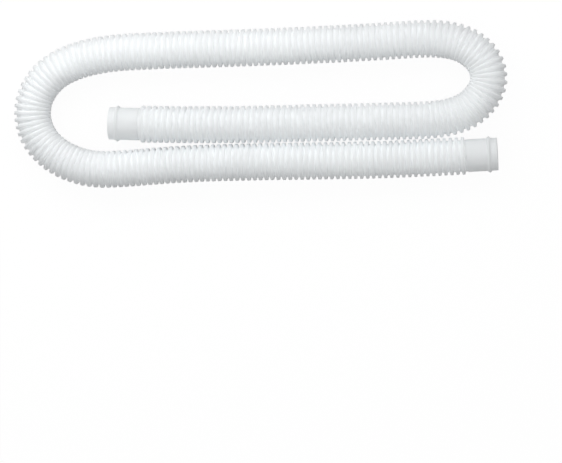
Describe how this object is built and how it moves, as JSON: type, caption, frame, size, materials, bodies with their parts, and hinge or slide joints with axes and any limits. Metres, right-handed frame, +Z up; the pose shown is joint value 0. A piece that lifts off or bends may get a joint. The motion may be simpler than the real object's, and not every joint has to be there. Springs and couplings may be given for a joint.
{
  "type": "vacuum hose",
  "caption": "Ribbed flexible suction hose for pool cleaning, folded into long runs on the floor, with a smooth push-on cuff and raised clamp ring at each end.",
  "frame": {"origin": "bottom centre of the folded hose's bounding box, on the floor", "axes": "+X along the long runs, from the left fold towards the right fold and the outer cuff's mouth; +Y across the runs, from the outer cuff's run towards the top run; +Z up"},
  "size_m": [0.5294, 0.1793, 0.0391],
  "materials": {
    "hose_plastic": "satin, slightly translucent cool white polyethylene",
    "cuff_plastic": "satin, smooth cool white polyethylene"
  },
  "bodies": {
    "root": {"corrugated_tube": "hose_plastic", "left_end_cuff": "cuff_plastic", "right_end_cuff": "cuff_plastic"}
  },
  "joints": []
}
